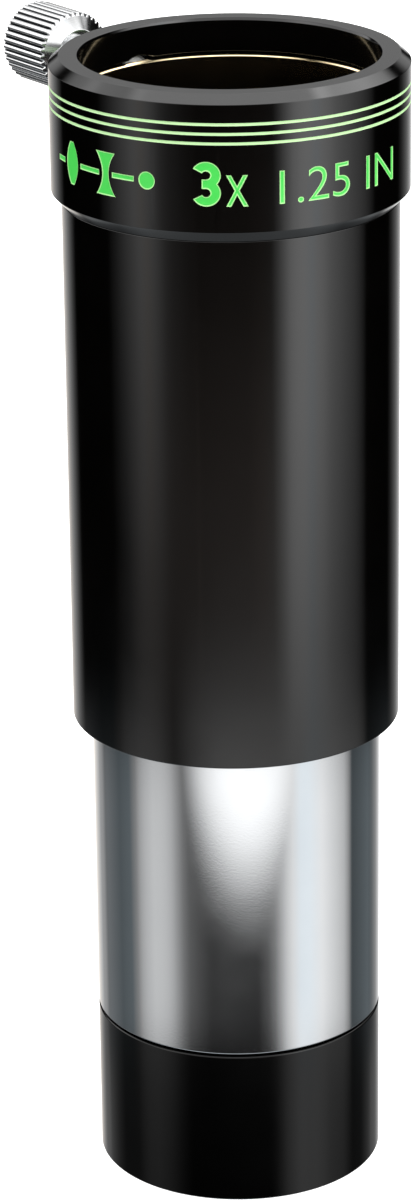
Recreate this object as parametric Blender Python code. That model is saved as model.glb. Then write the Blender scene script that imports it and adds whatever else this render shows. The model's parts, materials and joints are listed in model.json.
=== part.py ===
"""A three-power Barlow lens for 1.25-inch telescope eyepieces, standing on its lens cell.

Lengths are in metres. The optical axis is Z, z = 0 is the plane that the lens cell stands on,
and the eyepiece goes in at the top. Every screw thread is a plain cylinder.
"""

import math

import bmesh
import bpy
from mathutils import Matrix, Vector

# Driving dimensions
BARREL_RADIUS = 0.015875  # the standard 31.75 mm nose
SOCKET_RADIUS = 0.01595  # takes an eyepiece's 31.75 mm barrel
BODY_RADIUS = 0.0180
COLLAR_RADIUS = 0.0191
TOTAL_HEIGHT = 0.1270
GAP = 0.0003  # between two pieces that touch
EDGE = 0.0003  # small chamfer on a machined edge

# Levels along the optical axis
CELL_TOP = 0.0177
BARREL_BASE = CELL_TOP + GAP
SHOULDER = 0.0530
BARREL_TOP = 0.0650
EYEPIECE_STOP = 0.0900
COLLAR_BASE = 0.1115

# Facets round the axis
BIG_STEPS = 64
SMALL_STEPS = 40

# Eyepiece collar
TOP_CHAMFER = (0.0011, 0.0009)  # radial, axial
LOW_CHAMFER = (0.0011, 0.0012)
RING_GROOVES = 3
FIRST_GROOVE = 0.00293  # below the top face
GROOVE_PITCH = 0.0010
GROOVE_WIDTH = 0.0003
GROOVE_DEPTH = 0.00015

# Clamp ring, a split spring ring between the collar's lip and the body's upper end
CLAMP_TOP = TOTAL_HEIGHT - 0.0040
CLAMP_HEIGHT = 0.0050
CLAMP_INNER = 0.0160
CLAMP_WALL = 0.0008
CLAMP_PLAY = 0.0005  # radial room that it springs in
CLAMP_SPLIT = 0.0014
CLAMP_OUTER = CLAMP_INNER + CLAMP_WALL
COUNTERBORE_RADIUS = CLAMP_OUTER + CLAMP_PLAY

# Body tube
SPIGOT_RADIUS = COUNTERBORE_RADIUS - GAP
SPIGOT_TOP = CLAMP_TOP - CLAMP_HEIGHT - GAP
WAIST_RADIUS = 0.0150  # the narrower bore between the eyepiece stop and the barrel

# Nose barrel
BARREL_WALL = 0.0010
BARREL_BORE = BARREL_RADIUS - BARREL_WALL

# Baffles, each a ring with a thin sloping edge
BAFFLE_THICKNESS = 0.0020
UPPER_BAFFLE = (0.0850, WAIST_RADIUS - GAP, 0.0130)  # level, outer and inner radius
LOWER_BAFFLE = (0.0580, BARREL_BORE - GAP, 0.0122)
BAFFLE_LIP = 0.0003

# Lens cell
FILTER_BORE = 0.0141  # for a filter's M28.5 thread
FILTER_DEPTH = 0.0060
SEAT_BORE = 0.0120
SEAT_THICKNESS = 0.0015
LENS_RADIUS = 0.0130
LENS_BORE = LENS_RADIUS + GAP
CELL_SPIGOT = BARREL_BORE - GAP
CELL_SPIGOT_TOP = 0.0230

# The two lenses and what holds them, from the seat up
CLEAR_RADIUS = 0.0120  # the ground curve's rim
CROWN_BASE = FILTER_DEPTH + SEAT_THICKNESS + GAP
CROWN_EDGE = 0.0046
CROWN_SAG = 0.00145
SPACER_BASE = CROWN_BASE + CROWN_EDGE + GAP
SPACER_THICKNESS = 0.0008
SPACER_BORE = 0.0122
FLINT_BASE = SPACER_BASE + SPACER_THICKNESS + GAP
FLINT_EDGE = 0.0016
FLINT_LOWER_SAG = 0.0013
FLINT_UPPER_SAG = 0.0009
CURVE_STEPS = 5
CUSHION_BASE = FLINT_BASE + FLINT_EDGE + GAP
CUSHION_THICKNESS = 0.0010
CUSHION_BORE = 0.0121
RETAINER_BASE = CUSHION_BASE + CUSHION_THICKNESS + GAP
RETAINER_THICKNESS = 0.0022
RETAINER_BORE = 0.0115
RETAINER_SLOT = (0.0012, 0.0012)  # width, depth

# Thumbscrew, square to the optical axis
SCREW_AZIMUTH = math.radians(126.5)  # from +X, so it points left and away
SCREW_HEIGHT = TOTAL_HEIGHT - 0.0054
SHANK_RADIUS = 0.0017  # an M4 thread's core, in a hole of the thread's outer radius
SHANK_TIP = CLAMP_OUTER + GAP  # distances from the optical axis
HEAD_NEAR = 0.0287
HEAD_FAR = 0.0363
HEAD_RADIUS = 0.00445
HEAD_EDGE = 0.0002
KNURLS = 36
KNURL_DEPTH = 0.00035
HUB_RADII = (0.0034, 0.0027)  # the head's conical hub, from wide to narrow
HUB_HEIGHT = 0.0009
HEAD_BORE_DEPTH = 0.0045
HOLE_OVERRUN = 0.0010  # how far the hole's cutter passes the wall on both sides

# Colour, metallic, roughness
FINISHES = {
    "black_anodised": ((0.012, 0.012, 0.014), 0.6, 0.35),
    "black_matt": ((0.010, 0.010, 0.010), 0.0, 0.80),
    "chrome": ((0.80, 0.81, 0.83), 1.0, 0.14),
    "brass": ((0.78, 0.57, 0.26), 1.0, 0.30),
    "coated_glass": ((0.75, 0.85, 0.80), 0.0, 0.03),
    "black_rubber": ((0.015, 0.015, 0.015), 0.0, 0.90),
}


def clear_scene():
    """Start from an empty scene."""
    for thing in list(bpy.data.objects):
        bpy.data.objects.remove(thing)


def material(finish, name):
    """A Principled material for one piece."""
    colour, metallic, roughness = FINISHES[finish]
    made = bpy.data.materials.new(f"{name}_{finish}")
    made.use_nodes = True
    shader = made.node_tree.nodes["Principled BSDF"]
    shader.inputs["Base Color"].default_value = (*colour, 1.0)
    shader.inputs["Metallic"].default_value = metallic
    shader.inputs["Roughness"].default_value = roughness
    return made


def place(name, mesh, parent=None):
    """Put a mesh into the scene as an object."""
    piece = bpy.data.objects.new(name, mesh)
    bpy.context.scene.collection.objects.link(piece)
    piece.parent = parent
    return piece


def turned(name, profile, finish, steps, closed=True, parent=None):
    """Turn a profile of (radius, height) points about Z.

    A closed profile makes a ring. An open one starts and ends on the axis and makes a solid.
    """
    shape = bmesh.new()
    points = [shape.verts.new((radius, 0.0, height)) for radius, height in profile]
    for first, second in zip(points, points[1:]):
        shape.edges.new((first, second))
    if closed:
        shape.edges.new((points[-1], points[0]))
    bmesh.ops.spin(
        shape,
        geom=shape.verts[:] + shape.edges[:],
        cent=(0.0, 0.0, 0.0),
        axis=(0.0, 0.0, 1.0),
        angle=2.0 * math.pi,
        steps=steps,
        use_merge=True,
    )
    bmesh.ops.remove_doubles(shape, verts=shape.verts[:], dist=1e-6)
    bmesh.ops.recalc_face_normals(shape, faces=shape.faces[:])
    mesh = bpy.data.meshes.new(name)
    shape.to_mesh(mesh)
    shape.free()
    mesh.shade_smooth()
    mesh.set_sharp_from_angle(angle=math.radians(30.0))
    mesh.materials.append(material(finish, name))
    return place(name, mesh, parent)


def cutter(name, shape, transform):
    """Place a cutting shape, which is no piece of the object."""
    shape.transform(transform)
    mesh = bpy.data.meshes.new(name)
    shape.to_mesh(mesh)
    shape.free()
    tool = place(name, mesh)
    tool.hide_render = True
    tool.display_type = "WIRE"
    return tool


def cutting_box(name, size, centre, turn=0.0):
    """A box of the given size, turned about the optical axis."""
    shape = bmesh.new()
    bmesh.ops.create_cube(shape, size=1.0)
    scale = Matrix.Diagonal((*size, 1.0))
    return cutter(name, shape, Matrix.Rotation(turn, 4, "Z") @ Matrix.Translation(centre) @ scale)


def cutting_rod(name, radius, length, transform):
    """A rod along the transform's Z, starting at its origin."""
    shape = bmesh.new()
    bmesh.ops.create_cone(
        shape,
        cap_ends=True,
        segments=24,
        radius1=radius,
        radius2=radius,
        depth=length,
        matrix=Matrix.Translation((0.0, 0.0, length / 2.0)),
    )
    return cutter(name, shape, transform)


def cut(piece, tool):
    """Cut a tool's shape out of a piece."""
    step = piece.modifiers.new(tool.name, "BOOLEAN")
    step.operation = "DIFFERENCE"
    step.solver = "EXACT"
    step.object = tool


def screw_frame():
    """Where the thumbscrew's axis starts: Z points outwards along the screw."""
    turn = Matrix.Rotation(SCREW_AZIMUTH, 4, "Z") @ Matrix.Rotation(math.pi / 2.0, 4, "Y")
    return Matrix.Translation((0.0, 0.0, SCREW_HEIGHT)) @ turn


def collar_profile():
    """Down the outside past the three grooves, then up the inside."""
    top_in, top_down = TOP_CHAMFER
    low_in, low_up = LOW_CHAMFER
    points = [
        (SOCKET_RADIUS + EDGE, TOTAL_HEIGHT),
        (COLLAR_RADIUS - top_in, TOTAL_HEIGHT),
        (COLLAR_RADIUS, TOTAL_HEIGHT - top_down),
    ]
    for number in range(RING_GROOVES):
        centre = TOTAL_HEIGHT - FIRST_GROOVE - number * GROOVE_PITCH
        upper = centre + GROOVE_WIDTH / 2.0
        lower = centre - GROOVE_WIDTH / 2.0
        floor = COLLAR_RADIUS - GROOVE_DEPTH
        points += [(COLLAR_RADIUS, upper), (floor, upper), (floor, lower), (COLLAR_RADIUS, lower)]
    points += [
        (COLLAR_RADIUS, COLLAR_BASE + low_up),
        (COLLAR_RADIUS - low_in, COLLAR_BASE),
        (COUNTERBORE_RADIUS, COLLAR_BASE),
        (COUNTERBORE_RADIUS, CLAMP_TOP + GAP),
        (SOCKET_RADIUS, CLAMP_TOP + GAP),
        (SOCKET_RADIUS, TOTAL_HEIGHT - EDGE),
    ]
    return points


def make_collar():
    """The collar that the eyepiece goes into, with a hole for the thumbscrew."""
    collar = turned("eyepiece_collar", collar_profile(), "black_anodised", BIG_STEPS)
    start = screw_frame() @ Matrix.Translation((0.0, 0.0, SOCKET_RADIUS - HOLE_OVERRUN))
    length = COLLAR_RADIUS - SOCKET_RADIUS + 2.0 * HOLE_OVERRUN
    hole = cutting_rod("screw_hole_cutter", SHANK_RADIUS + GAP, length, start)
    cut(collar, hole)


def make_clamp_ring():
    """A brass ring, split on the side away from the thumbscrew."""
    bottom = CLAMP_TOP - CLAMP_HEIGHT
    profile = [
        (CLAMP_INNER, bottom),
        (CLAMP_OUTER, bottom),
        (CLAMP_OUTER, CLAMP_TOP),
        (CLAMP_INNER, CLAMP_TOP),
    ]
    ring = turned("clamp_ring", profile, "brass", BIG_STEPS)
    size = (CLAMP_WALL * 4.0, CLAMP_SPLIT, CLAMP_HEIGHT * 2.0)
    centre = (CLAMP_OUTER, 0.0, bottom + CLAMP_HEIGHT / 2.0)
    cut(ring, cutting_box("split_cutter", size, centre, SCREW_AZIMUTH + math.pi))


def make_body_tube():
    """The main tube: an eyepiece bore above, a narrower waist, and the barrel's socket below."""
    socket = BARREL_RADIUS + GAP
    profile = [
        (BODY_RADIUS - EDGE, SHOULDER),
        (BODY_RADIUS, SHOULDER + EDGE),
        (BODY_RADIUS, COLLAR_BASE - GAP),
        (SPIGOT_RADIUS, COLLAR_BASE - GAP),
        (SPIGOT_RADIUS, SPIGOT_TOP),
        (SOCKET_RADIUS, SPIGOT_TOP),
        (SOCKET_RADIUS, EYEPIECE_STOP),
        (WAIST_RADIUS, EYEPIECE_STOP),
        (WAIST_RADIUS, BARREL_TOP + GAP),
        (socket, BARREL_TOP + GAP),
        (socket, SHOULDER),
    ]
    turned("body_tube", profile, "black_anodised", BIG_STEPS)


def make_nose_barrel():
    """The chromed tube that goes into the telescope."""
    profile = [
        (BARREL_BORE, BARREL_BASE),
        (BARREL_RADIUS - EDGE, BARREL_BASE),
        (BARREL_RADIUS, BARREL_BASE + EDGE),
        (BARREL_RADIUS, BARREL_TOP),
        (BARREL_BORE, BARREL_TOP),
    ]
    turned("nose_barrel", profile, "chrome", BIG_STEPS)


def make_baffle(name, level, outer, inner):
    """A baffle ring whose inner edge is thin, so that it reflects nothing."""
    profile = [
        (outer, level),
        (outer, level + BAFFLE_THICKNESS),
        (outer - BAFFLE_THICKNESS / 2.0, level + BAFFLE_THICKNESS),
        (inner, level + BAFFLE_LIP),
        (inner, level),
    ]
    turned(name, profile, "black_matt", SMALL_STEPS)


def make_lens_cell():
    """The cell: filter bore below, the lens seat, and the spigot that screws into the barrel."""
    seat_top = FILTER_DEPTH + SEAT_THICKNESS
    profile = [
        (FILTER_BORE, 0.0),
        (BARREL_RADIUS - EDGE, 0.0),
        (BARREL_RADIUS, EDGE),
        (BARREL_RADIUS, CELL_TOP - EDGE),
        (BARREL_RADIUS - EDGE, CELL_TOP),
        (CELL_SPIGOT, CELL_TOP),
        (CELL_SPIGOT, CELL_SPIGOT_TOP),
        (LENS_BORE, CELL_SPIGOT_TOP),
        (LENS_BORE, seat_top),
        (SEAT_BORE, seat_top),
        (SEAT_BORE, FILTER_DEPTH),
        (FILTER_BORE, FILTER_DEPTH),
    ]
    turned("lens_cell", profile, "black_anodised", BIG_STEPS)


def curve(level, sag):
    """Points from the axis out to the ground curve's rim, along an arc.

    The rim is at the level, and the middle is higher by the sag, or lower if it's negative.
    """
    radius = (CLEAR_RADIUS**2 + sag**2) / (2.0 * abs(sag))
    side = math.copysign(1.0, sag)
    points = []
    for step in range(CURVE_STEPS + 1):
        out = CLEAR_RADIUS * step / CURVE_STEPS
        rise = math.sqrt(radius**2 - out**2) - (radius - abs(sag))
        points.append((out, level + side * rise))
    return points


def make_lens(name, base, edge, lower_sag, upper_sag):
    """One lens element with a flat rim round each ground curve."""
    profile = curve(base, lower_sag)
    profile += [(LENS_RADIUS, base), (LENS_RADIUS, base + edge)]
    profile += reversed(curve(base + edge, upper_sag))
    turned(name, profile, "coated_glass", SMALL_STEPS, closed=False)


def make_flat_ring(name, base, thickness, bore, finish):
    """A plain ring of the lenses' diameter."""
    profile = [
        (bore, base),
        (LENS_RADIUS, base),
        (LENS_RADIUS, base + thickness),
        (bore, base + thickness),
    ]
    return turned(name, profile, finish, SMALL_STEPS)


def make_lens_stack():
    """Crown, spacer, flint, rubber cushion and slotted retaining ring, from the seat up."""
    make_lens("crown_lens", CROWN_BASE, CROWN_EDGE, CROWN_SAG, -CROWN_SAG)
    make_flat_ring("lens_spacer", SPACER_BASE, SPACER_THICKNESS, SPACER_BORE, "black_matt")
    make_lens("flint_lens", FLINT_BASE, FLINT_EDGE, -FLINT_LOWER_SAG, -FLINT_UPPER_SAG)
    make_flat_ring("lens_cushion", CUSHION_BASE, CUSHION_THICKNESS, CUSHION_BORE, "black_rubber")
    retainer = make_flat_ring(
        "retaining_ring", RETAINER_BASE, RETAINER_THICKNESS, RETAINER_BORE, "black_anodised"
    )
    width, depth = RETAINER_SLOT
    size = (LENS_RADIUS * 3.0, width, depth * 2.0)
    centre = Vector((0.0, 0.0, RETAINER_BASE + RETAINER_THICKNESS))
    cut(retainer, cutting_box("spanner_slot_cutter", size, centre))


def make_thumbscrew():
    """A plain shank and a knurled head, both on an empty whose Z is the screw's axis."""
    axis = place("thumbscrew_axis", None)
    axis.matrix_world = screw_frame()

    bore_end = HEAD_NEAR + HEAD_BORE_DEPTH
    tip = [
        (0.0, SHANK_TIP),
        (SHANK_RADIUS - EDGE, SHANK_TIP),
        (SHANK_RADIUS, SHANK_TIP + EDGE),
        (SHANK_RADIUS, bore_end - GAP),
        (0.0, bore_end - GAP),
    ]
    turned("thumbscrew_shank", tip, "chrome", 24, closed=False, parent=axis)

    hub_wide, hub_narrow = HUB_RADII
    bore = SHANK_RADIUS + GAP
    profile = [
        (0.0, bore_end),
        (bore, bore_end),
        (bore, HEAD_NEAR - HUB_HEIGHT),
        (hub_narrow, HEAD_NEAR - HUB_HEIGHT),
        (hub_wide, HEAD_NEAR),
        (HEAD_RADIUS - HEAD_EDGE, HEAD_NEAR),
        (HEAD_RADIUS, HEAD_NEAR + HEAD_EDGE),
        (HEAD_RADIUS, HEAD_FAR - HEAD_EDGE),
        (HEAD_RADIUS - HEAD_EDGE, HEAD_FAR),
        (0.0, HEAD_FAR),
    ]
    head = turned("thumbscrew_head", profile, "chrome", 2 * KNURLS, closed=False, parent=axis)
    cut_knurls(head.data)


def cut_knurls(mesh):
    """Move every second line of the head's rim inwards, which leaves V grooves along it."""
    floor = HEAD_RADIUS - KNURL_DEPTH
    for vertex in mesh.vertices:
        out = math.hypot(vertex.co.x, vertex.co.y)
        if out <= floor:
            continue
        line = round(math.atan2(vertex.co.y, vertex.co.x) * KNURLS / math.pi)
        if line % 2:
            vertex.co.x *= floor / out
            vertex.co.y *= floor / out


def main():
    clear_scene()
    make_collar()
    make_clamp_ring()
    make_body_tube()
    make_nose_barrel()
    make_baffle("upper_baffle", *UPPER_BAFFLE)
    make_baffle("lower_baffle", *LOWER_BAFFLE)
    make_lens_cell()
    make_lens_stack()
    make_thumbscrew()


main()
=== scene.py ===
"""Looks for a three-power Barlow lens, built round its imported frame.

Lengths are in metres unless a name ends in _MM, and azimuths round the object are in degrees
from its front (-Y), positive towards +X. A turned piece is a closed profile of (radius, height)
corners swept about the optical axis, or about the thumbscrew's axis.
"""

import json
import math

import bmesh
import bpy
from mathutils import Matrix, Vector

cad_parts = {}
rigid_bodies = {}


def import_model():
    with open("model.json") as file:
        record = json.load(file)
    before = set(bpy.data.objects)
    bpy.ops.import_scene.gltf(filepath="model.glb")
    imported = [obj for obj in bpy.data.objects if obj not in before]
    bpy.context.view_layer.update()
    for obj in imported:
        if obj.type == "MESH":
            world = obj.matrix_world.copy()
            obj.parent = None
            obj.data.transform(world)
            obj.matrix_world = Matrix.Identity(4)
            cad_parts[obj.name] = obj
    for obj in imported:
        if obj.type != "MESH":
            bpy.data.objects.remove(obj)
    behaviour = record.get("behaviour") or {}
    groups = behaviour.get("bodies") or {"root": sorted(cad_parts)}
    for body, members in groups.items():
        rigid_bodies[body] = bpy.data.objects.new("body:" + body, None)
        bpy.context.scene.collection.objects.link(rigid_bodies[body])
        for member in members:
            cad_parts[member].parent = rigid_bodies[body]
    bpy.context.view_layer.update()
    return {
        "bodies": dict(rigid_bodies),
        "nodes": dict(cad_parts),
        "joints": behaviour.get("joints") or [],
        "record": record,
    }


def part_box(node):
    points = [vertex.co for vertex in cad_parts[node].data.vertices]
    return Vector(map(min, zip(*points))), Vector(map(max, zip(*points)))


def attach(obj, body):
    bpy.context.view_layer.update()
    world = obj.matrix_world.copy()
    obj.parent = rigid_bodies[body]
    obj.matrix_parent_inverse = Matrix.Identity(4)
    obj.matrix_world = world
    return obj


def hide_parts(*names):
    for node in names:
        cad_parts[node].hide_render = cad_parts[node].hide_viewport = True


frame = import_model()

# Camera
CAMERA_PLACE = (0.0, -0.4552, 0.23645)
CAMERA_DOWN = math.radians(20.57)
CAMERA_LEFT = math.radians(0.373)
CAMERA_ROLL = math.radians(-0.709)
CAMERA_LENS = 132.87

# Fineness
STEPS = 256
THREAD_STEPS = 128
SMALL_STEPS = 96
ARC_STEPS = 5
SHARP_ANGLE = math.radians(34.0)
WALL_CLOSE = 0.00001  # how near a cylinder a face must be to be part of its wall
WALL_FACING = 0.999  # and how squarely it must face outwards
MERGE = 1e-7  # points nearer than this are one point
THREAD_WALL = 1e-6  # how near a threaded wall's radius a point must be to be sunk
MICRON = 1e-6
MM = 0.001

# Sizes that the frame's boxes don't give
SOCKET_RADIUS = 0.01595
LIP_EDGE = (0.0001, 0.0003)  # in, down
TOP_CHAMFER = (0.0011, 0.0009)
LOW_CHAMFER = (0.0011, 0.0012)
COUNTERBORE_RADIUS = 0.0173
SMOOTH = 0.00006  # the rounding of a crisp machined edge
SOFT = 0.00018  # the rounding of a broken edge
CLOSE = 0.00004  # the gap shown between two pieces screwed together

# Painted rings and lettering on the collar
RINGS = 3
FIRST_RING = 0.00293
RING_PITCH = 0.0010
RING_WIDTH = 0.0003
RING_DEPTH = 0.00015
BASELINE = 0.0115  # below the top face
POCKET_MM = 0.12
POCKET_RISE_MM = 0.2  # how far the pocket's cutter stands out of the wall
PAINT_LIFT_MM = 0.001  # the gap under the paint
FILL_MM = 0.05
BRIM_MM = 0.015
BRIM_WIDTH_MM = 0.12
SLICE_MM = 0.25

# Thumbscrew
SCREW_AZIMUTH = math.radians(126.5)  # from +X
SCREW_DROP = 0.0054  # below the top face
HOLE_RADIUS = 0.0020
SHANK_CREST = 0.00192
SHANK_DEPTH = 0.00040
SHANK_PITCH = 0.0007
SHANK_TIP = 0.0166
TIP_LENGTH = 0.0012
SHANK_END = 0.0327
HEAD_NEAR = 0.0287
HEAD_FAR = 0.0363
HEAD_RADIUS = 0.00445
KNURLS = 36
KNURL_DEPTH = 0.00035
KNURL_SAMPLES = 12
KNURL_GROOVE = 0.34  # the groove's share of a knurl
KNURL_CROWN = 0.30  # how far the land's edges drop, as a share of the depth
GROOVE_SHADE_START = 1.5  # where a groove's faces start to carry the painted shade, in crown drops

# The lens cell's threads, and the shape of every thread
CELL_PITCH = 0.0006
CELL_SPIGOT = 0.014575
FILTER_BORE = 0.0141
THREAD_DEPTH = 0.00030
ROWS_PER_PITCH = 10
FLANK_STEEPNESS = 1.35
CREST_WIDTH = 0.15


def outer_ring(node):
    """Outer radius, bottom and top of a node turned about the optical axis."""
    low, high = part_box(node)
    return high.x, low.z, high.z


COLLAR_RADIUS, COLLAR_BASE, TOP = outer_ring("eyepiece_collar")
BODY_RADIUS, SHOULDER, SPIGOT_TOP = outer_ring("body_tube")
BARREL_RADIUS, BARREL_BASE, BARREL_TOP = outer_ring("nose_barrel")
CELL_RADIUS, CELL_BASE, CELL_SPIGOT_TOP = outer_ring("lens_cell")
SCREW_HEIGHT = TOP - SCREW_DROP


# Profiles and meshes


def arc(corner, before, after, rounding):
    """Points along the arc that rounds a corner between its two neighbours."""
    half = before.angle(after) / 2.0
    back = rounding / math.tan(half)
    start = corner + before.normalized() * back
    end = corner + after.normalized() * back
    inwards = (before.normalized() + after.normalized()).normalized()
    centre = corner + inwards * rounding / math.sin(half)
    first = math.atan2(start.y - centre.y, start.x - centre.x)
    turn = math.atan2(end.y - centre.y, end.x - centre.x) - first
    turn = (turn + math.pi) % (2.0 * math.pi) - math.pi
    points = []
    for step in range(ARC_STEPS + 1):
        angle = first + turn * step / ARC_STEPS
        points.append(centre + Vector((math.cos(angle), math.sin(angle))) * rounding)
    return points


def outline(corners, closed=True):
    """Turn (radius, height) or (radius, height, rounding) corners into points."""
    points = []
    for index, corner in enumerate(corners):
        place = Vector(corner[:2])
        is_end = not closed and index in (0, len(corners) - 1)
        if len(corner) < 3 or is_end:
            points.append(place)
            continue
        before = Vector(corners[index - 1][:2]) - place
        after = Vector(corners[(index + 1) % len(corners)][:2]) - place
        points += arc(place, before, after, corner[2])
    return points


def rows(radius, start, end, count):
    """Evenly spaced points up or down a straight wall."""
    return [(radius, start + (end - start) * step / count) for step in range(count + 1)]


def finished(name, shape, *materials):
    """Make a bmesh into a smooth-shaded object with its materials, facing outwards."""
    bmesh.ops.recalc_face_normals(shape, faces=shape.faces[:])
    if shape.calc_volume(signed=True) < 0.0:
        bmesh.ops.reverse_faces(shape, faces=shape.faces[:])
    mesh = bpy.data.meshes.new(name)
    shape.to_mesh(mesh)
    shape.free()
    mesh.shade_smooth()
    mesh.set_sharp_from_angle(angle=SHARP_ANGLE)
    for one in materials:
        mesh.materials.append(one)
    piece = bpy.data.objects.new(name, mesh)
    bpy.context.scene.collection.objects.link(piece)
    return piece


def swept(points, steps=STEPS, closed=True):
    """Sweep a profile about Z. A closed profile makes a ring, an open one ends on the axis."""
    shape = bmesh.new()
    columns = []
    for step in range(steps):
        turn = 2.0 * math.pi * step / steps
        across, along = math.cos(turn), math.sin(turn)
        columns.append([shape.verts.new((r * across, r * along, z)) for r, z in points])
    spans = len(points) if closed else len(points) - 1
    for left, right in zip(columns, columns[1:] + columns[:1]):
        for row in range(spans):
            above = (row + 1) % len(points)
            shape.faces.new((left[row], right[row], right[above], left[above]))
    bmesh.ops.remove_doubles(shape, verts=shape.verts[:], dist=MERGE)
    return shape


def even_normals(piece):
    """Let large faces set the shading, so that small roundings don't bend it."""
    step = piece.modifiers.new("even_normals", "WEIGHTED_NORMAL")
    step.keep_sharp = True
    return piece


def turned(name, corners, finish):
    """A turned ring with rounded edges."""
    return even_normals(finished(name, swept(outline(corners)), finish))


def bake(piece):
    """Apply a piece's modifiers for good."""
    graph = bpy.context.evaluated_depsgraph_get()
    made = bpy.data.meshes.new_from_object(piece.evaluated_get(graph))
    made.name = piece.name
    piece.modifiers.clear()
    piece.data = made


def cut(piece, tools):
    """Cut each tool out of a piece for good, and shade the result again."""
    for tool in tools:
        step = piece.modifiers.new(tool.name, "BOOLEAN")
        step.solver = "EXACT"
        step.object = tool
    bake(piece)
    for tool in tools:
        bpy.data.objects.remove(tool)
    piece.data.shade_smooth()
    piece.data.set_sharp_from_angle(angle=SHARP_ANGLE)
    even_normals(piece)


def shade_round(piece, radius):
    """Shade a piece's outer wall as a true cylinder, whatever has been cut into it."""
    bake(piece)
    mesh = piece.data
    normals = [corner.vector.copy() for corner in mesh.corner_normals]
    for face in mesh.polygons:
        out = Vector((face.center.x, face.center.y, 0.0))
        off_wall = abs(out.length - radius) > WALL_CLOSE
        if off_wall or face.normal.dot(out.normalized()) < WALL_FACING:
            continue
        for corner in face.loop_indices:
            place = mesh.vertices[mesh.loops[corner].vertex_index].co
            normals[corner] = Vector((place.x, place.y, 0.0)).normalized()
    mesh.normals_split_custom_set(normals)


def screw_frame():
    """Where the thumbscrew's axis starts, with Z pointing outwards along the screw."""
    turn = Matrix.Rotation(SCREW_AZIMUTH, 4, "Z") @ Matrix.Rotation(math.pi / 2.0, 4, "Y")
    return Matrix.Translation((0.0, 0.0, SCREW_HEIGHT)) @ turn


def cut_thread(shape, radius, depth, pitch, low, high):
    """Sink a helical groove into a wall of close rows, fading out at both ends."""
    for vertex in shape.verts:
        out = math.hypot(vertex.co.x, vertex.co.y)
        height = vertex.co.z
        if abs(out - radius) > THREAD_WALL or not low < height < high:
            continue
        turn = math.atan2(vertex.co.y, vertex.co.x) / (2.0 * math.pi)
        phase = (height / pitch - turn) % 1.0
        rise = 1.0 - abs(2.0 * phase - 1.0)
        groove = min(1.0, max(0.0, FLANK_STEEPNESS * rise - CREST_WIDTH))
        fade = min(1.0, (height - low) / pitch, (high - height) / pitch)
        scale = (out + depth * groove * fade) / out
        vertex.co.x *= scale
        vertex.co.y *= scale


# Materials

CLOUD_SCALE = 180.0  # of the slow changes of colour and roughness, per metre


class Nodes:
    """Adds linked nodes to one tree."""

    def __init__(self, tree):
        self.tree = tree

    def add(self, kind, inputs=None, output=0, **settings):
        """Add a node, set or link its inputs, and return one of its outputs."""
        node = self.tree.nodes.new(kind)
        for name, value in settings.items():
            setattr(node, name, value)
        for socket, value in (inputs or {}).items():
            if isinstance(value, bpy.types.NodeSocket):
                self.tree.links.new(value, node.inputs[socket])
            else:
                node.inputs[socket].default_value = value
        return node.outputs[output]

    def math(self, operation, first, second=0.0):
        """Work out one number from two."""
        return self.add("ShaderNodeMath", {0: first, 1: second}, operation=operation)

    def vector(self, operation, first, second):
        """Work out one vector from two."""
        return self.add("ShaderNodeVectorMath", {0: first, 1: second}, operation=operation)

    def length(self, vector):
        """How long a vector is."""
        return self.add("ShaderNodeVectorMath", {0: vector}, output=1, operation="LENGTH")

    def ramp(self, value, stops, low, high):
        """Colours or levels at stops between low and high."""
        place = self.math("DIVIDE", self.math("SUBTRACT", value, low), high - low)
        result = self.add("ShaderNodeValToRGB", {0: place})
        elements = result.node.color_ramp.elements
        while len(elements) < len(stops):
            elements.new(1.0)
        for element, (stop, colour) in zip(elements, stops):
            element.position = (stop - low) / (high - low)
            rgb = colour if isinstance(colour, tuple) else (colour, colour, colour)
            element.color = (*rgb, 1.0)
        return result

    def noise(self, vector, scale, detail=2.0, roughness=0.5):
        """Smooth noise from 0 to 1."""
        settings = {"Vector": vector, "Scale": scale, "Detail": detail, "Roughness": roughness}
        return self.add("ShaderNodeTexNoise", settings)

    def between(self, factor, first, second):
        """Mix two colours."""
        made = self.add("ShaderNodeMix", {"Factor": factor}, output=2, data_type="RGBA")
        made.node.inputs["A"].default_value = (*first, 1.0)
        made.node.inputs["B"].default_value = (*second, 1.0)
        return made


def round_marks(nodes, place, pitch):
    """Lines that run round the piece's Z, as a lathe leaves them."""
    parts = nodes.add("ShaderNodeSeparateXYZ", {0: place}).node.outputs
    out = nodes.length(nodes.vector("MULTIPLY", place, (1.0, 1.0, 0.0)))
    lines = nodes.add("ShaderNodeCombineXYZ", {0: out, 2: parts[2]})
    return nodes.noise(lines, 1.0 / pitch, detail=3.0, roughness=0.6)


def long_marks(nodes, place, pitch):
    """Faint lines along the piece's Z, as drawing or polishing a tube leaves them."""
    drawn = nodes.vector("MULTIPLY", place, (1.0, 1.0, 0.02))
    return nodes.noise(drawn, 1.0 / pitch, detail=3.0)


def grain_marks(nodes, place, pitch):
    """Grain that runs in no direction."""
    return nodes.noise(place, 1.0 / pitch, detail=2.0)


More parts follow.
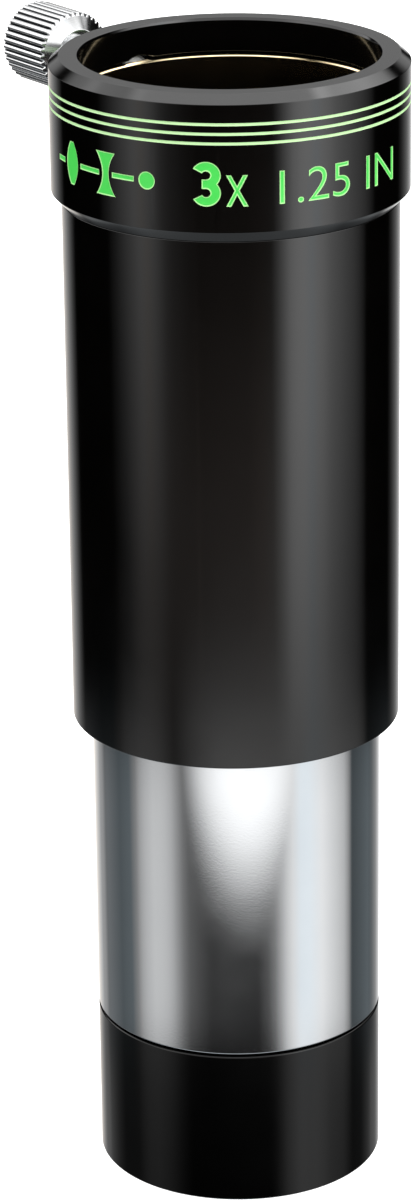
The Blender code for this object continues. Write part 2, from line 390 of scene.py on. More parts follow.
def surface(name, low, high, roughness, marks, spread=0.04, frame=None, **fixed):
    """A material that varies between two colours, with fine marks in its height.

    marks lists (kind, pitch, height) with the height in metres. frame is the piece's own frame,
    where that isn't the world's. fixed holds uniform shader values.
    """
    made = bpy.data.materials.new(name)
    made.use_nodes = True
    nodes = Nodes(made.node_tree)
    shader = made.node_tree.nodes["Principled BSDF"]
    place = nodes.add("ShaderNodeTexCoord", output="Object")
    if frame is not None:
        back = frame.inverted()
        place = nodes.add(
            "ShaderNodeMapping",
            {"Vector": place, "Location": back.to_translation(), "Rotation": back.to_euler()},
        )
    cloud = nodes.noise(place, CLOUD_SCALE, detail=4.0)
    made.node_tree.links.new(nodes.between(cloud, low, high), shader.inputs["Base Color"])
    wear = {0: cloud, 3: roughness - spread, 4: roughness + spread}
    worn = nodes.add("ShaderNodeMapRange", wear)
    made.node_tree.links.new(worn, shader.inputs["Roughness"])
    relief = None
    for kind, pitch, height in marks:
        layer = nodes.math("MULTIPLY", kind(nodes, place, pitch), height / MICRON)
        relief = layer if relief is None else nodes.math("ADD", relief, layer)
    if relief is not None:
        settings = {"Strength": 1.0, "Distance": MICRON, "Height": relief}
        bump = nodes.add("ShaderNodeBump", settings)
        made.node_tree.links.new(bump, shader.inputs["Normal"])
    for socket, value in fixed.items():
        shader.inputs[socket.replace("_", " ")].default_value = value
    return made


def make_materials():
    """Every finish on the object."""
    lathe = [(round_marks, 0.00011, 0.5e-6), (long_marks, 0.00022, 0.3e-6)]
    return {
        "anodised": surface(
            "anodised", (0.0004, 0.0004, 0.0003), (0.0012, 0.0010, 0.0009), 0.10, lathe,
            spread=0.02, IOR=1.6,
        ),
        "cell_black": surface(
            "cell_black", (0.0002, 0.0002, 0.0002), (0.0006, 0.0006, 0.0006), 0.10, lathe,
            spread=0.02, IOR=1.40,
        ),
        "machined": surface(
            "machined", (0.0022, 0.0022, 0.0022), (0.0050, 0.0048, 0.0046), 0.26,
            [(round_marks, 0.00013, 1.6e-6)], IOR=1.6,
        ),
        "matt_black": surface(
            "matt_black", (0.004, 0.004, 0.004), (0.010, 0.009, 0.008), 0.72,
            [(round_marks, 0.00025, 4e-6), (grain_marks, 0.00008, 2e-6)],
        ),
        "chrome": surface(
            "chrome", (0.64, 0.655, 0.67), (0.70, 0.71, 0.72), 0.055,
            [(long_marks, 0.00030, 0.5e-6), (grain_marks, 0.00022, 0.4e-6)], spread=0.02,
            Metallic=1.0,
        ),
        "screw_chrome": surface(
            "screw_chrome", (0.66, 0.67, 0.68), (0.74, 0.74, 0.74), 0.15,
            [(round_marks, 0.00012, 1.2e-6)], frame=screw_frame(), Metallic=1.0,
        ),
        # Dark chrome for the knurl grooves' deep faces: painted shade in the grooves, not a
        # different plating.
        "groove_painted_shade": surface(
            "groove_painted_shade", (0.05, 0.055, 0.06), (0.09, 0.095, 0.10), 0.30,
            [(grain_marks, 0.00012, 1.2e-6)], frame=screw_frame(), Metallic=1.0,
        ),
        "brass": surface(
            "brass", (0.84, 0.66, 0.38), (0.95, 0.80, 0.52), 0.11,
            [(round_marks, 0.00014, 0.5e-6), (long_marks, 0.0003, 0.5e-6)], spread=0.03,
            Metallic=1.0,
        ),
        # Paler than the lettering's green: the same green paint, lightened as a painted highlight
        # on the thin rings.
        "ring_paint": surface(
            "ring_paint", (0.56, 0.92, 0.42), (0.66, 0.98, 0.52), 0.35,
            [(grain_marks, 0.00006, 1e-6)],
        ),
        "fill_paint": surface(
            "fill_paint", (0.060, 0.68, 0.080), (0.085, 0.80, 0.115), 0.38,
            [(grain_marks, 0.00009, 2e-6)],
        ),
        "brim_paint": surface(
            "brim_paint", (0.40, 0.92, 0.30), (0.50, 0.98, 0.38), 0.38,
            [(grain_marks, 0.00009, 2e-6)],
        ),
        "ground_chrome": surface(
            "ground_chrome", (0.90, 0.90, 0.88), (0.96, 0.96, 0.94), 0.60,
            [(grain_marks, 0.0001, 2e-6)], Metallic=1.0,
        ),
        "rubber": surface(
            "rubber", (0.008, 0.008, 0.008), (0.018, 0.017, 0.016), 0.85,
            [(grain_marks, 0.0001, 5e-6)],
        ),
        "glass": surface(
            "glass", (0.90, 0.97, 0.93), (0.96, 1.0, 0.97), 0.02, [], spread=0.012,
            Transmission_Weight=1.0, IOR=1.52, Thin_Film_Thickness=125.0, Thin_Film_IOR=1.38,
        ),
    }


# Pieces


def fit(piece, body, slot, *nodes):
    """Put a piece on its body, standing for the frame's own nodes."""
    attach(piece, body)
    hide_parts(*nodes)


def ring_levels():
    """The heights of the painted rings' middles, from the top down."""
    return [TOP - FIRST_RING - number * RING_PITCH for number in range(RINGS)]


def make_collar(finish, tools):
    """The collar, with its ring grooves, its screw hole and the pockets for its lettering."""
    top_in, top_down = TOP_CHAMFER
    low_in, low_up = LOW_CHAMFER
    lip_in, lip_down = LIP_EDGE
    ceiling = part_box("clamp_ring")[1].z + lip_down
    corners = [
        (SOCKET_RADIUS + lip_in, TOP, SMOOTH),
        (COLLAR_RADIUS - top_in, TOP, SMOOTH),
        (COLLAR_RADIUS, TOP - top_down, SMOOTH),
    ]
    floor = COLLAR_RADIUS - RING_DEPTH
    for level in ring_levels():
        upper, lower = level + RING_WIDTH / 2.0, level - RING_WIDTH / 2.0
        corners += [
            (COLLAR_RADIUS, upper, SMOOTH / 3.0),
            (floor, upper),
            (floor, lower),
            (COLLAR_RADIUS, lower, SMOOTH / 3.0),
        ]
    corners += [
        (COLLAR_RADIUS, COLLAR_BASE + low_up, SMOOTH),
        (COLLAR_RADIUS - low_in, COLLAR_BASE, SMOOTH),
        (COUNTERBORE_RADIUS, COLLAR_BASE, SMOOTH),
        (COUNTERBORE_RADIUS, ceiling),
        (SOCKET_RADIUS, ceiling, SMOOTH),
        (SOCKET_RADIUS, TOP - lip_down, SMOOTH),
    ]
    collar = turned("collar_shell", corners, finish)
    cut(collar, [screw_hole(), *tools])
    shade_round(collar, COLLAR_RADIUS)
    fit(collar, "tube", "black_anodised", "eyepiece_collar")


def screw_hole():
    """The cutting shape for the thumbscrew's hole, countersunk at both ends."""
    past = 0.001
    sink = 0.0004
    corners = [
        (0.0, SOCKET_RADIUS - past),
        (HOLE_RADIUS + sink + past, SOCKET_RADIUS - past),
        (HOLE_RADIUS, SOCKET_RADIUS + sink),
        (HOLE_RADIUS, COLLAR_RADIUS - sink),
        (HOLE_RADIUS + sink + past, COLLAR_RADIUS + past),
        (0.0, COLLAR_RADIUS + past),
    ]
    shape = swept(outline(corners, closed=False), SMALL_STEPS, closed=False)
    shape.transform(screw_frame())
    return finished("screw_hole", shape)


def make_ring_paint(finish):
    """Paint that fills the three grooves, a little hollow, and stops at the screw's hole."""
    half = RING_WIDTH / 2.0
    edge, hollow = 0.00001, 0.00004
    for number, level in enumerate(ring_levels(), start=1):
        corners = [
            (COLLAR_RADIUS - RING_DEPTH, level - half),
            (COLLAR_RADIUS - RING_DEPTH, level + half),
            (COLLAR_RADIUS - edge, level + half),
            (COLLAR_RADIUS - hollow, level),
            (COLLAR_RADIUS - edge, level - half),
        ]
        ring = turned(f"ring_paint_{number}", corners, finish)
        cut(ring, [screw_hole()])
        fit(ring, "tube", "green_paint")


def text_shape(text, width, height):
    """Flat lettering in millimetres, its baseline at 0 and its middle at x = 0."""
    merge = 0.0005
    words = bpy.data.curves.new("lettering", "FONT")
    words.body = text
    words.resolution_u = 8
    holder = bpy.data.objects.new("lettering", words)
    bpy.context.scene.collection.objects.link(holder)
    graph = bpy.context.evaluated_depsgraph_get()
    flat = bpy.data.meshes.new_from_object(holder.evaluated_get(graph))
    bpy.data.objects.remove(holder)
    shape = bmesh.new()
    shape.from_mesh(flat)
    bpy.data.meshes.remove(flat)
    bmesh.ops.remove_doubles(shape, verts=shape.verts[:], dist=merge)
    across = [vertex.co.x for vertex in shape.verts]
    up = [vertex.co.y for vertex in shape.verts]
    wide = width / (max(across) - min(across))
    tall = height / (max(up) - min(up))
    for vertex in shape.verts:
        vertex.co.x = (vertex.co.x - (max(across) + min(across)) / 2.0) * wide
        vertex.co.y = (vertex.co.y - min(up)) * tall
        vertex.co.z = 0.0
    return shape


def arc_points(middle, radius, first, last, count=20):
    """Points along an arc between two angles in degrees."""
    points = []
    for step in range(count + 1):
        angle = math.radians(first + (last - first) * step / count)
        points.append((radius * math.cos(angle), middle + radius * math.sin(angle)))
    return points


def three_shape():
    """A bold 3 in millimetres: two bowls of even thickness, and a tongue between them."""
    height, thick, tongue, opening, widening = 4.7, 1.0, 0.42, 152.0, 1.07
    bowl = (height - thick) / 4.0
    upper, middle, lower = height / 2.0 + bowl, height / 2.0, height / 2.0 - bowl
    outer, inner = bowl + thick / 2.0, bowl - thick / 2.0
    meeting = math.degrees(math.asin(bowl / outer))
    points = arc_points(upper, outer, opening, -meeting)
    points += arc_points(lower, outer, meeting, -opening)[1:]
    points += arc_points(lower, inner, -opening, 90.0)
    points += [(-tongue, middle - thick / 2.0), (-tongue, middle + thick / 2.0)]
    points += arc_points(upper, inner, -90.0, opening)
    shape = bmesh.new()
    shape.faces.new([shape.verts.new((x * widening, y, 0.0)) for x, y in points])
    return shape


def lens_loop(x, waist, end, height, points=14):
    """A lens in section, its faces bending from its waist's half width to its ends'."""
    right, left = [], []
    for step in range(points + 1):
        up = height * step / points
        bend = (2.0 * step / points - 1.0) ** 2
        half = waist + (end - waist) * bend
        right.append((x + half, up))
        left.append((x - half, up))
    return right + left[::-1]


def bar_loop(start, end, middle, thickness):
    """A level bar."""
    low, high = middle - thickness / 2.0, middle + thickness / 2.0
    return [(start, low), (end, low), (end, high), (start, high)]


def dot_loop(x, y, radius, points=28):
    """A round dot."""
    turns = [2.0 * math.pi * step / points for step in range(points)]
    return [(x + radius * math.cos(turn), y + radius * math.sin(turn)) for turn in turns]


def optics_shape():
    """A small optical diagram in millimetres: two lenses on an axis, and the focus."""
    height, thick = 4.6, 0.6
    middle = height / 2.0
    loops = [
        lens_loop(-4.4, 1.15, 0.35, height),
        lens_loop(1.2, 0.45, 1.35, height),
        bar_loop(-7.6, -6.0, middle, thick),
        bar_loop(-2.8, 0.3, middle, thick),
        bar_loop(2.1, 4.9, middle, thick),
        dot_loop(6.4, middle, 0.95),
    ]
    shape = bmesh.new()
    for loop in loops:
        shape.faces.new([shape.verts.new((x, y, 0.0)) for x, y in loop])
    return shape


def sliced(shape):
    """Cut a flat shape into narrow strips, so that it can follow a curved wall."""
    bmesh.ops.triangulate(shape, faces=shape.faces[:], ngon_method="EAR_CLIP")
    across = [vertex.co.x for vertex in shape.verts]
    first = math.floor(min(across) / SLICE_MM) + 1
    last = math.ceil(max(across) / SLICE_MM)
    for number in range(first, last):
        bmesh.ops.bisect_plane(
            shape,
            geom=shape.verts[:] + shape.edges[:] + shape.faces[:],
            plane_co=(number * SLICE_MM, 0.0, 0.0),
            plane_no=(1.0, 0.0, 0.0),
        )


def deepened(shape, bottom):
    """Give a flat shape side walls down to a level."""
    made = bmesh.ops.extrude_face_region(shape, geom=shape.faces[:])
    for vertex in made["geom"]:
        if isinstance(vertex, bmesh.types.BMVert):
            vertex.co.z = bottom


def wrapped(shape, azimuth):
    """Bend a shape in millimetres round the collar, its Z going outwards from the wall."""
    for vertex in shape.verts:
        turn = math.radians(azimuth) + vertex.co.x * MM / COLLAR_RADIUS
        out = COLLAR_RADIUS + vertex.co.z * MM
        height = TOP - BASELINE + vertex.co.y * MM
        vertex.co = (out * math.sin(turn), -out * math.cos(turn), height)


def engraved(name, make_shape, azimuth, fill, brim):
    """A painted engraving: returns the tool that cuts its pocket, and makes its paint."""
    pocket = make_shape()
    sliced(pocket)
    for vertex in pocket.verts:
        vertex.co.z = POCKET_RISE_MM
    deepened(pocket, -POCKET_MM)
    wrapped(pocket, azimuth)
    tool = finished(name + "_pocket", pocket)

    paint = make_shape()
    bmesh.ops.recalc_face_normals(paint, faces=paint.faces[:])
    inner = set(paint.faces[:])
    made = bmesh.ops.inset_region(
        paint,
        faces=paint.faces[:],
        thickness=BRIM_WIDTH_MM,
        use_boundary=True,
        use_even_offset=True,
    )
    for face in made["faces"]:
        face.material_index = 1
    for vertex in paint.verts:
        on_brim = any(face not in inner for face in vertex.link_faces)
        edge = on_brim and vertex.is_boundary
        vertex.co.z = -BRIM_MM if edge else -FILL_MM
    sliced(paint)
    deepened(paint, -POCKET_MM + PAINT_LIFT_MM)
    wrapped(paint, azimuth)
    fit(finished(name, paint, fill, brim), "tube", "green_paint")
    return tool


def make_engravings(materials):
    """The magnification, the barrel's size and an optical diagram round the collar's front."""
    fill, brim = materials["fill_paint"], materials["brim_paint"]
    shapes = [
        ("optics_diagram", optics_shape, -46.0),
        ("power_digit", three_shape, -7.6),
        ("power_cross", lambda: text_shape("x", 2.3, 3.3), 2.0),
        ("size_words", lambda: text_shape("1.25 IN", 15.6, 3.6), 38.5),
    ]
    return [engraved(name, make, azimuth, fill, brim) for name, make, azimuth in shapes]


def make_clamp_ring(finish):
    """The brass ring, with its inner upper edge broken, split on the far side from the screw."""
    bottom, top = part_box("clamp_ring")[0].z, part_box("clamp_ring")[1].z
    inner, outer = 0.0160, 0.0164
    broken = 0.0003
    corners = [
        (inner, bottom, SMOOTH),
        (outer, bottom, SMOOTH),
        (outer, top, SMOOTH),
        (inner + broken, top, SMOOTH / 2.0),
        (inner, top - broken, SMOOTH / 2.0),
    ]
    ring = turned("spring_ring", corners, finish)
    shape = bmesh.new()
    bmesh.ops.create_cube(shape, size=1.0)
    through, width, tall = 0.0032, 0.0014, 0.010
    split = Matrix.Diagonal((through, width, tall, 1.0))
    away = Matrix.Rotation(SCREW_AZIMUTH + math.pi, 4, "Z")
    place = Matrix.Translation((outer, 0.0, (top + bottom) / 2.0))
    shape.transform(away @ place @ split)
    cut(ring, [finished("split_tool", shape)])
    fit(ring, "clamp_ring", "brass", "clamp_ring")


def make_body_tube(finish):
    """The main tube, with its eyepiece bore, its waist and the barrel's socket."""
    spigot = 0.0170
    stop = 0.0900
    waist = 0.0150
    socket = BARREL_RADIUS + CLOSE
    corners = [
        (BODY_RADIUS, SHOULDER, SOFT),
        (BODY_RADIUS, COLLAR_BASE - CLOSE, SMOOTH),
        (spigot, COLLAR_BASE - CLOSE),
        (spigot, SPIGOT_TOP, SMOOTH),
        (SOCKET_RADIUS, SPIGOT_TOP, SMOOTH),
        (SOCKET_RADIUS, stop),
        (waist, stop, SMOOTH),
        (waist, BARREL_TOP + CLOSE, SMOOTH),
        (socket, BARREL_TOP + CLOSE),
        (socket, SHOULDER, SMOOTH),
    ]
    tube = turned("main_tube", corners, finish)
    fit(tube, "tube", "black_anodised", "body_tube")


def make_nose_barrel(finish):
    """The chromed barrel, with a broken lower edge."""
    wall = 0.0010
    bore = BARREL_RADIUS - wall
    corners = [
        (bore, BARREL_BASE, SMOOTH),
        (BARREL_RADIUS, BARREL_BASE, SOFT),
        (BARREL_RADIUS, BARREL_TOP, SMOOTH),
        (bore, BARREL_TOP, SMOOTH),
    ]
    barrel = turned("chromed_barrel", corners, finish)
    fit(barrel, "tube", "chrome", "nose_barrel")


def make_baffle(node, inner, finish):
    """A baffle ring whose inner edge is thin."""
    outer, level, top = outer_ring(node)
    lip = 0.0003
    corners = [
        (outer, level, SMOOTH),
        (outer, top, SMOOTH),
        (outer - (top - level) / 2.0, top, SMOOTH),
        (inner, level + lip),
        (inner, level),
    ]
    baffle = turned(node + "_ring", corners, finish)
    fit(baffle, "tube", "black_matt", node)


def make_lens_cell(finish):
    """The cell: a filter thread below, the lens seat, and the threaded spigot above."""
    cell_top = 0.0177
    filter_depth = 0.0060
    seat_top = 0.0075
    seat_bore = 0.0120
    lens_bore = 0.0133
    lead = 0.0004
    undercut = 0.0001
    filter_relief = 0.0006
    filter_rows = round(filter_depth / CELL_PITCH * ROWS_PER_PITCH)
    spigot_rows = round((CELL_SPIGOT_TOP - cell_top) / CELL_PITCH * ROWS_PER_PITCH)
    points = outline(
        [
            (FILTER_BORE + lead, CELL_BASE),
            (CELL_RADIUS, CELL_BASE, SOFT),
            (CELL_RADIUS, cell_top, SOFT),
            (CELL_SPIGOT - THREAD_DEPTH, cell_top),
        ],
        closed=False,
    )
    points += rows(CELL_SPIGOT, cell_top + undercut, CELL_SPIGOT_TOP - lead, spigot_rows)
    points += [
        (CELL_SPIGOT - lead, CELL_SPIGOT_TOP),
        (lens_bore, CELL_SPIGOT_TOP),
        (lens_bore, seat_top),
        (seat_bore, seat_top),
        (seat_bore, filter_depth),
        (FILTER_BORE, filter_depth),
    ]
    points += rows(FILTER_BORE, filter_depth - undercut, CELL_BASE + lead, filter_rows)
    shape = swept([tuple(point) for point in points], THREAD_STEPS * 2)
    spigot = (cell_top + 2.0 * undercut, CELL_SPIGOT_TOP - lead)
    cut_thread(shape, CELL_SPIGOT, -THREAD_DEPTH, CELL_PITCH, *spigot)
    mouth = (CELL_BASE + lead, filter_depth - filter_relief)
    cut_thread(shape, FILTER_BORE, THREAD_DEPTH, CELL_PITCH, *mouth)
    cell = even_normals(finished("cell_shell", shape, finish))
    fit(cell, "lens_cell", "black_anodised", "lens_cell")


def curve(rim, level, sag, steps=24):
    """Points from the axis out to a ground curve's rim; the middle is higher by the sag."""
    radius = (rim**2 + sag**2) / (2.0 * abs(sag))
    side = math.copysign(1.0, sag)
    points = []
    for step in range(steps + 1):
        out = rim * step / steps
        rise = math.sqrt(radius**2 - out**2) - (radius - abs(sag))
        points.append((out, level + side * rise))
    return points


def make_lens(node, lower_sag, upper_sag, finish):
    """One lens element, with a bevelled rim."""
    rim = 0.0120
    bevel = 0.0002
    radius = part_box(node)[1].x
    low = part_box(node)[0].z - min(0.0, lower_sag)
    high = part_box(node)[1].z
    points = curve(rim, low, lower_sag)
    points += [(radius - bevel, low), (radius, low + bevel)]
    points += [(radius, high - bevel), (radius - bevel, high)]
    points += reversed(curve(rim, high, upper_sag))
    shape = swept(points, SMALL_STEPS * 2, closed=False)
    lens = finished(node + "_glass", shape, finish)
    fit(lens, "lens_stack", "coated_glass", node)


def make_plain_ring(node, bore, body, slot, finish, tools=()):
    """A plain ring with broken edges."""
    outer, bottom, top = outer_ring(node)
    edge = SMOOTH
    corners = [(bore, bottom, edge), (outer, bottom, edge), (outer, top, edge), (bore, top, edge)]
    ring = turned(node + "_turned", corners, finish)
    if tools:
        cut(ring, tools)
    fit(ring, body, slot, node)


def spanner_slot():
    """The cutting shape for the retaining ring's two spanner slots."""
    shape = bmesh.new()
    bmesh.ops.create_cube(shape, size=1.0)
    across, width, deep = 0.04, 0.0012, 0.0012
    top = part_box("retaining_ring")[1].z
    size = Matrix.Diagonal((across, width, deep * 2.0, 1.0))
    shape.transform(Matrix.Translation((0.0, 0.0, top)) @ size)
    return finished("slot_tool", shape)


def make_optics(materials):
    """The two lenses and the rings that hold them."""
    black, glass = materials["matt_black"], materials["glass"]
    machined = materials["machined"]
    make_lens("crown_lens", 0.00145, -0.00145, glass)
    make_lens("flint_lens", -0.0013, -0.0009, glass)
    make_plain_ring("lens_spacer", 0.0122, "lens_stack", "black_matt", black)
    make_plain_ring("lens_cushion", 0.0121, "lens_stack", "black_rubber", materials["rubber"])
    slots = [spanner_slot()]
    make_plain_ring("retaining_ring", 0.0115, "lens_cell", "black_anodised", machined, slots)


def make_screw_tip(finish):
    """The shank's end, ground bright and chamfered."""
    chamfer = 0.0007
    rim = SHANK_CREST - SHANK_DEPTH / 4.0
    corners = [
        (0.0, SHANK_TIP),
        (rim - chamfer, SHANK_TIP, SOFT),
        (rim, SHANK_TIP + chamfer, SOFT),
        (rim, SHANK_TIP + TIP_LENGTH),
        (0.0, SHANK_TIP + TIP_LENGTH),
    ]
    shape = swept(outline(corners, closed=False), SMALL_STEPS, closed=False)
    shape.transform(screw_frame())
    fit(even_normals(finished("screw_tip", shape, finish)), "thumbscrew_shank", "chrome")


def make_shank(finish):
    """The thumbscrew's threaded shank."""
    lead = 0.0004
    first = SHANK_TIP + TIP_LENGTH
    turns = (SHANK_END - first) / SHANK_PITCH
    points = [(0.0, first), (SHANK_CREST - SHANK_DEPTH, first)]
    points += rows(SHANK_CREST, first + lead, SHANK_END - lead, round(turns * ROWS_PER_PITCH))
    points += [(0.0, SHANK_END - lead / 2.0)]
    shape = swept(points, SMALL_STEPS // 2, closed=False)
    cut_thread(shape, SHANK_CREST, -SHANK_DEPTH, SHANK_PITCH, first + lead, SHANK_END - lead)
    shape.transform(screw_frame())
    shank = even_normals(finished("screw_shank", shape, finish))
    fit(shank, "thumbscrew_shank", "chrome", "thumbscrew_shank")


def knurl_depth(step):
    """How deep a column is: a V groove, and a crowned land between two grooves."""
    away = abs(step % KNURL_SAMPLES / KNURL_SAMPLES - 0.5) * 2.0
    if away < KNURL_GROOVE:
        return 1.0 - (1.0 - KNURL_CROWN) * away / KNURL_GROOVE
    return KNURL_CROWN * ((1.0 - away) / (1.0 - KNURL_GROOVE)) ** 2


def make_head(finish, groove_shade_finish):
    """The knurled head, with a conical shoulder towards the collar and a dished outer face."""
    edge = 0.0002
    hub_narrow, hub_height, bore_depth = 0.0027, 0.0009, 0.0045
    bore = SHANK_CREST + SMOOTH
    bore_end = HEAD_NEAR + bore_depth
    dish_rim, dish_edge, dish_depth = 0.0012, 0.0015, 0.0002
    corners = [
        (0.0, bore_end),
        (bore, bore_end),
        (bore, HEAD_NEAR - hub_height, SMOOTH),
        (hub_narrow, HEAD_NEAR - hub_height, SOFT),
        (HEAD_RADIUS - 2.0 * edge, HEAD_NEAR, SMOOTH),
        (HEAD_RADIUS, HEAD_NEAR + edge, SMOOTH),
        (HEAD_RADIUS, HEAD_FAR - edge, SMOOTH),
        (HEAD_RADIUS - edge, HEAD_FAR, SMOOTH),
        (HEAD_RADIUS - dish_rim, HEAD_FAR, SMOOTH),
        (HEAD_RADIUS - dish_edge, HEAD_FAR - dish_depth, SMOOTH),
        (0.0, HEAD_FAR - dish_depth),
    ]
    steps = KNURLS * KNURL_SAMPLES
    shape = swept(outline(corners, closed=False), steps, closed=False)
    floor = HEAD_RADIUS - KNURL_DEPTH
    shade_radius = HEAD_RADIUS - KNURL_DEPTH * GROOVE_SHADE_START * KNURL_CROWN
    for vertex in shape.verts:
        out = math.hypot(vertex.co.x, vertex.co.y)
        if out <= floor:
            continue
        step = round(math.atan2(vertex.co.y, vertex.co.x) * steps / (2.0 * math.pi))
        sunk = out + (floor - out) * knurl_depth(step)
        vertex.co.x *= sunk / out
        vertex.co.y *= sunk / out
    # Faces deep in the grooves take the second, dark finish: painted shade in the grooves.
    for face in shape.faces:
        outs = [math.hypot(vertex.co.x, vertex.co.y) for vertex in face.verts]
        on_rim = HEAD_NEAR + edge < face.calc_center_median().z < HEAD_FAR - edge
        in_shaded_groove = max(outs) > floor - edge and min(outs) < shade_radius
        face.material_index = int(on_rim and in_shaded_groove)
    shape.transform(screw_frame())
    head = even_normals(finished("knurled_head", shape, finish, groove_shade_finish))
    fit(head, "thumbscrew_head", "chrome", "thumbscrew_head")


# Studio

# Each layer of the studio is a level, a row of tints round it by azimuth, and a row of shares up
# it by elevation, all in degrees.
WHITE = (1.0, 1.0, 1.0)
COOL = (0.90, 0.96, 1.0)
WARM = (1.0, 0.95, 0.90)
DUSK = (1.0, 0.84, 0.76)
SLATE = (0.80, 0.93, 1.0)
TABLE_EDGE = -22.35
LOW = (TABLE_EDGE - 0.2, TABLE_EDGE + 0.15)
CLOSER = (-26.5, -26.2)


def tint(colour, share):
    """A share of a colour."""
    return tuple(part * share for part in colour)


LAYERS = [
    # the white sweep behind, below the horizon
    (
        1.35,
        [(-180, WARM), (-170, tint(WARM, 0.90)), (-160, tint(WARM, 0.65)), (-150, 0.42),
         (-145, 0.28), (-140, 0.13), (-134, 0.0), (134, 0.0), (140, 0.05), (150, 0.21),
         (160, 0.45), (170, 0.75), (180, 1.0)],
        [(-48, 0.12), (-33, 0.2), (-29, 1.0), (-6, 1.0), (-2, 0.0)],
    ),
    # a low panel behind
    (
        0.56,
        [(-180, 0.85), (-155, 1.0), (-149, 0.0), (149, 0.0), (155, 1.0), (180, 0.85)],
        [(2, 0.0), (6, 1.0), (24, 0.9), (28, 0.0)],
    ),
    # the big softbox behind and above
    (
        4.0,
        [(-112, 0.5), (-98, 0.0), (98, 0.0), (108, 1.0), (128, 1.0), (150, 0.65)],
        [(24, 0.0), (30, 0.45), (42, 0.75), (60, 0.80), (64, 0.0)],
    ),
    # the same softbox overhead
    (
        2.5,
        [(-180, 1.0), (180, 1.0)],
        [(55, 0.0), (64, 0.97), (90, 1.0)],
    ),
    # a broad fill from in front and above
    (
        1.6,
        [(-134, 0.0), (-128, 1.0), (84, 1.0), (96, 0.0)],
        [(-4, 0.0), (2, 1.0), (34, 1.0), (44, 0.0)],
    ),
    # the left panel
    (
        0.90,
        [(-92, 0.0), (-85, 0.14), (-80, 0.31), (-70, 0.70), (-64, 0.98), (-59, WARM),
         (-54, 0.80), (-50, 0.58), (-45, 0.29), (-40, 0.16), (-30, 0.05), (-22, 0.0)],
        [(LOW[0], 0.0), (LOW[1], 0.04), (-20.6, 0.16), (-19.3, 0.45), (-18.0, 0.58),
         (-16.8, 0.80), (-15.0, 1.0), (30, 1.0), (45, 0.6), (60, 0.0)],
    ),
    # the right panel
    (
        2.10,
        [(27, 0.0), (31, 0.16), (36, 0.46), (40, 0.76), (45, 0.93), (50, WHITE), (56, COOL),
         (60, 0.88), (65, 0.76), (70, 0.58), (75, 0.47), (80, 0.38), (85, 0.29), (90, 0.22),
         (95, 0.14), (100, 0.06), (104, 0.0)],
        [(LOW[0], 0.0), (LOW[1], 0.46), (-20.6, 0.66), (-19.3, 0.83), (-17.0, 1.0), (30, 1.0),
         (45, 0.6), (60, 0.0)],
    ),
    # the dim front, lighter towards the table
    (
        0.60,
        [(-78, 0.0), (-68, tint(DUSK, 0.28)), (-30, tint(DUSK, 0.46)), (-25, tint(DUSK, 0.48)),
         (-24, tint(DUSK, 0.66)), (-23, tint(DUSK, 0.48)), (10, tint(DUSK, 0.58)),
         (20, tint(DUSK, 0.8)), (30, WARM), (40, 0.9), (56, 0.0)],
        [(LOW[0], 0.0), (LOW[1], 0.4), (-20.6, 0.72), (-19.3, 0.72), (-18.0, 0.50),
         (-17.0, 0.28), (-16.0, 0.21), (-14.5, 0.08), (50, 0.08)],
    ),
    # what the table's near part shows of the room
    (
        1.22,
        [(-146, 0.0), (-140, 0.16), (-130, tint(COOL, 0.17)), (-110, tint(SLATE, 0.11)),
         (-97, tint(SLATE, 0.14)), (-90, 0.25), (-85, 0.42), (-80, 0.52), (-72, 0.62),
         (-65, 0.61), (-60, 0.57), (-55, 0.48), (-50, 0.33), (-45, 0.20), (-40, 0.12),
         (-32, 0.075), (-22, 0.035), (16, 0.025), (24, 0.09), (30, 0.21), (35, 0.42),
         (40, 0.65), (45, 0.82), (52, tint(COOL, 0.97)), (60, COOL), (72, 0.93), (90, 0.65),
         (96, 0.54), (102, 0.30), (106, tint(SLATE, 0.08)), (132, tint(SLATE, 0.14)), (152, 0.0)],
        [(CLOSER[0], 0.0), (CLOSER[1], 1.0), (LOW[0], 1.0), (LOW[1], 0.0)],
    ),
    # the same, closer to the object
    (
        1.1,
        [(-146, 0.0), (-138, 0.32), (-130, 0.25), (-120, 0.13), (-110, 0.05), (-92, 0.07),
         (-80, 0.25), (-70, 0.30), (-60, 0.22), (-50, 0.08), (-40, 0.0), (25, 0.0), (30, 0.06),
         (35, 0.25), (40, 0.57), (45, 0.77), (50, 0.98), (55, 1.0), (60, 0.91), (65, 0.89),
         (70, 0.77), (75, 0.64), (80, 0.47), (90, 0.33), (95, 0.27), (100, 0.15), (106, 0.05),
         (120, 0.05), (130, 0.15), (140, 0.25), (152, 0.0)],
        [(-34, 0.0), (-30, 0.9), (CLOSER[0], 1.0), (CLOSER[1], 0.0)],
    ),
    # the table right under the object
    (
        0.9,
        [(-180, COOL), (180, COOL)],
        [(-60, 1.0), (-50, 0.33), (-38, 0.33), (-31, 0.0)],
    ),
]

# The patch of light on the table in front, an ellipse in degrees, with levels from its middle out
PATCH_CENTRE = (8.0, -22.0)
PATCH_HALF = (75.0, 3.5)
PATCH_LEVEL = 1.9
PATCH_SHARES = [
    (0.0, 1.0), (0.35, 0.92), (0.48, 0.74), (0.56, 0.58), (0.64, 0.36), (0.72, 0.16),
    (0.80, 0.05), (0.90, 0.01), (1.0, 0.0),
]

# The floor
FLOOR_HALF = 6.0
FLOOR_GLOW = 0.7  # lifts the pale paper to the photo's white


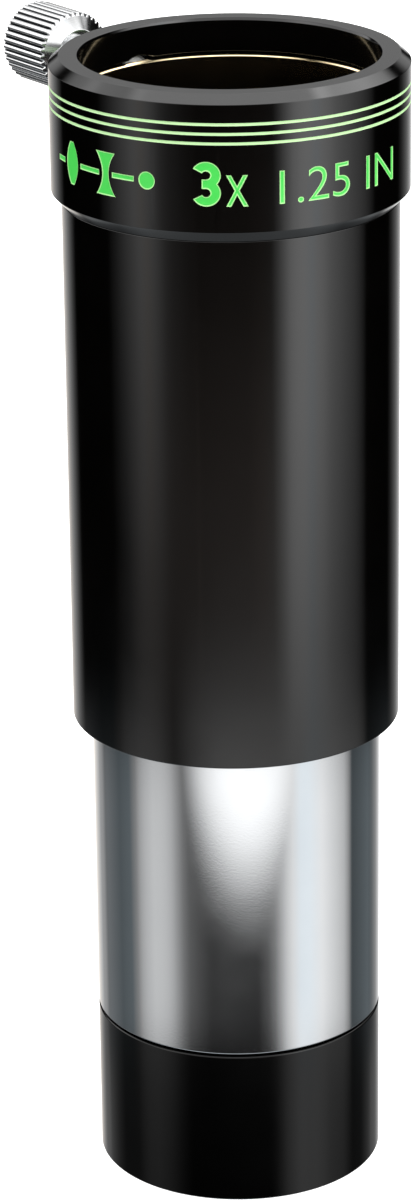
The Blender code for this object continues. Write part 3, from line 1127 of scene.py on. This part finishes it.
def make_studio():
    """A studio of soft boxes and dark gaps, which the camera sees as plain white."""
    world = bpy.data.worlds.new("studio")
    bpy.context.scene.world = world
    world.use_nodes = True
    tree = world.node_tree
    tree.nodes.clear()
    nodes = Nodes(tree)
    direction = nodes.add("ShaderNodeTexCoord", output="Generated")
    x, y, z = nodes.add("ShaderNodeSeparateXYZ", {0: direction}).node.outputs
    azimuth = nodes.math("DEGREES", nodes.math("ARCTAN2", x, nodes.math("MULTIPLY", y, -1.0)))
    elevation = nodes.math("DEGREES", nodes.math("ARCSINE", z))

    total = None
    for level, around, upward in LAYERS:
        first = nodes.ramp(azimuth, around, -180.0, 180.0)
        second = nodes.ramp(elevation, upward, -90.0, 90.0)
        layer = nodes.vector("MULTIPLY", first, second)
        layer = nodes.vector("MULTIPLY", layer, (level, level, level))
        total = layer if total is None else nodes.vector("ADD", total, layer)

    across = nodes.math("DIVIDE", nodes.math("SUBTRACT", azimuth, PATCH_CENTRE[0]), PATCH_HALF[0])
    up = nodes.math("DIVIDE", nodes.math("SUBTRACT", elevation, PATCH_CENTRE[1]), PATCH_HALF[1])
    flat = nodes.add("ShaderNodeCombineXYZ", {0: across, 1: up})
    patch = nodes.ramp(nodes.length(flat), PATCH_SHARES, 0.0, 2.0)
    below = nodes.ramp(elevation, [(LOW[0], 1.0), (LOW[1], 0.0)], -90.0, 90.0)
    patch = nodes.vector("MULTIPLY", patch, below)
    patch = nodes.vector("MULTIPLY", patch, (PATCH_LEVEL, PATCH_LEVEL, PATCH_LEVEL))
    total = nodes.vector("MAXIMUM", total, patch)

    seen = nodes.add("ShaderNodeLightPath", output="Is Camera Ray")
    lit = nodes.add("ShaderNodeBackground", {0: total})
    plain = nodes.add("ShaderNodeBackground", {0: (1.0, 1.0, 1.0, 1.0)})
    mixed = nodes.add("ShaderNodeMixShader", {0: seen, 1: lit, 2: plain})
    end = tree.nodes.new("ShaderNodeOutputWorld")
    tree.links.new(mixed, end.inputs["Surface"])


def make_floor():
    """A wide pale floor that gives the object's foot a trace of shadow.

    Only the camera sees it. The object sees the studio's own table instead.
    """
    shape = bmesh.new()
    bmesh.ops.create_grid(shape, x_segments=8, y_segments=8, size=FLOOR_HALF)
    paper = surface(
        "paper", (0.88, 0.88, 0.88), (0.92, 0.92, 0.92), 0.9, [(grain_marks, 0.0008, 6e-6)],
        Emission_Color=(1.0, 1.0, 1.0, 1.0), Emission_Strength=FLOOR_GLOW,
    )
    floor = finished("floor", shape, paper)
    floor.visible_glossy = False
    floor.visible_diffuse = False
    floor.visible_transmission = False
    floor.visible_shadow = False


def make_camera():
    """The camera, at its place and turned down, left and over."""
    camera = bpy.data.objects.new("camera", bpy.data.cameras.new("camera"))
    camera.data.lens = CAMERA_LENS
    left = Matrix.Rotation(CAMERA_LEFT, 4, "Z")
    down = Matrix.Rotation(math.pi / 2.0 - CAMERA_DOWN, 4, "X")
    roll = Matrix.Rotation(CAMERA_ROLL, 4, "Z")
    camera.matrix_world = Matrix.Translation(CAMERA_PLACE) @ left @ down @ roll
    bpy.context.scene.collection.objects.link(camera)
    bpy.context.scene.camera = camera
    bpy.context.scene.view_settings.view_transform = "Standard"


def main():
    """Build the camera, the studio and every piece."""
    make_camera()
    make_studio()
    make_floor()
    materials = make_materials()
    make_collar(materials["anodised"], make_engravings(materials))
    make_ring_paint(materials["ring_paint"])
    make_clamp_ring(materials["brass"])
    make_body_tube(materials["anodised"])
    make_nose_barrel(materials["chrome"])
    make_baffle("upper_baffle", 0.0130, materials["matt_black"])
    make_baffle("lower_baffle", 0.0122, materials["matt_black"])
    make_lens_cell(materials["cell_black"])
    make_optics(materials)
    make_screw_tip(materials["ground_chrome"])
    make_shank(materials["screw_chrome"])
    make_head(materials["screw_chrome"], materials["groove_painted_shade"])


main()
